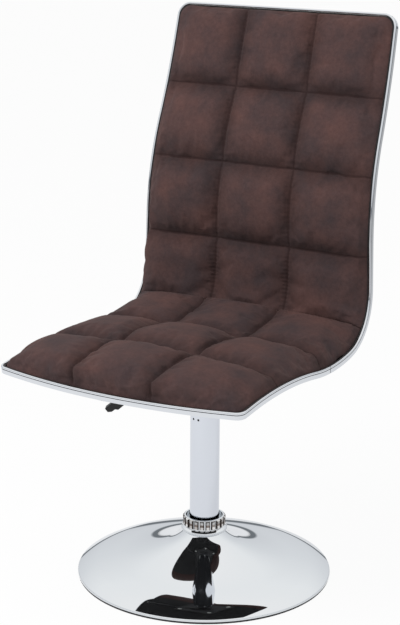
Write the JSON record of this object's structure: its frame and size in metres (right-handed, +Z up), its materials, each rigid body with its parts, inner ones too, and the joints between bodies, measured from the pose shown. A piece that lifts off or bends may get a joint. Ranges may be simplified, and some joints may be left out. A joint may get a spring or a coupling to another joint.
{
  "type": "swivel dining chair",
  "caption": "Padded high-back dining chair with quilted seat and back on a chromed swivelling gas-lift column and a spun trumpet base, with a hand lever under the seat",
  "frame": {"origin": "on the column's axis, in the plane that the foot ring rests on", "axes": "+Z up, -Y the way the sitter faces, +X the sitter's left"},
  "size_m": [0.4562, 0.5662, 0.9506],
  "materials": {
    "polished_chrome": "polished",
    "crystal": "gloss",
    "black_rubber": "matte",
    "black_nylon": "matte",
    "raw_steel": "satin",
    "zinc_steel": "satin",
    "valve_aluminium": "satin",
    "black_steel": "satin",
    "plywood": "matte",
    "black_lining": "matte",
    "black_piping": "satin",
    "brown_microfibre": "matte"
  },
  "bodies": {
    "base": {"base_trumpet": "polished_chrome", "rim_ring": "black_rubber", "ballast_plate": "raw_steel", "stand_tube": "polished_chrome", "tube_foot": "raw_steel", "guide_bush": "black_nylon", "collar_ring": "polished_chrome", "collar_stones": "crystal", "thrust_washer_lower": "raw_steel"},
    "bearing": {"ball_cage": "black_nylon", "thrust_balls": "raw_steel"},
    "spindle": {"piston_rod": "raw_steel", "gas_piston": "valve_aluminium", "thrust_washer_upper": "raw_steel", "rubber_bumper": "black_rubber", "retaining_clip": "raw_steel"},
    "seat": {"pressure_cylinder": "polished_chrome", "rod_gland": "valve_aluminium", "valve_block": "valve_aluminium", "hub_socket": "black_steel", "lever_housing": "black_steel", "seat_plate": "black_steel", "pivot_pin": "raw_steel", "mounting_block": "plywood", "mounting_bolts": "zinc_steel", "bolt_washers": "zinc_steel", "tee_nuts": "zinc_steel", "shell_board": "plywood", "underside_lining": "black_lining", "back_cover": "brown_microfibre", "trim_seat": "polished_chrome", "trim_back": "polished_chrome", "edge_piping": "black_piping", "seat_pad": "brown_microfibre", "back_pad": "brown_microfibre"},
    "lever": {"lever_rod": "black_steel", "lever_handle": "black_nylon"},
    "release_pin": {"release_pin": "raw_steel"}
  },
  "joints": [
    {"name": "swivel", "type": "hinge", "parent": "base", "child": "spindle", "pos_m": [0, 0, 0.02], "axis": [0, 0, 1], "continuous": true},
    {"name": "bearing_roll", "type": "hinge", "parent": "base", "child": "bearing", "pos_m": [0, 0, 0.0186], "axis": [0, 0, 1], "continuous": true},
    {"name": "lift", "type": "slide", "parent": "spindle", "child": "seat", "axis": [0, 0, 1], "range_m": [0, 0.12]},
    {"name": "lever_lift", "type": "hinge", "parent": "seat", "child": "lever", "pos_m": [-0.02127, -0.01112, 0.3656], "axis": [-0.4633, 0.8862, 0], "range_deg": [0, 8], "stiffness_Nm_per_rad": 1.5},
    {"name": "pin_push", "type": "slide", "parent": "seat", "child": "release_pin", "axis": [0, 0, -1], "range_m": [0, 0.0034]}
  ],
  "couplings": [
    {"joint": "bearing_roll", "follows": "swivel", "ratio": 0.5},
    {"joint": "pin_push", "follows": "lever_lift", "m_per_rad": 0.024}
  ]
}
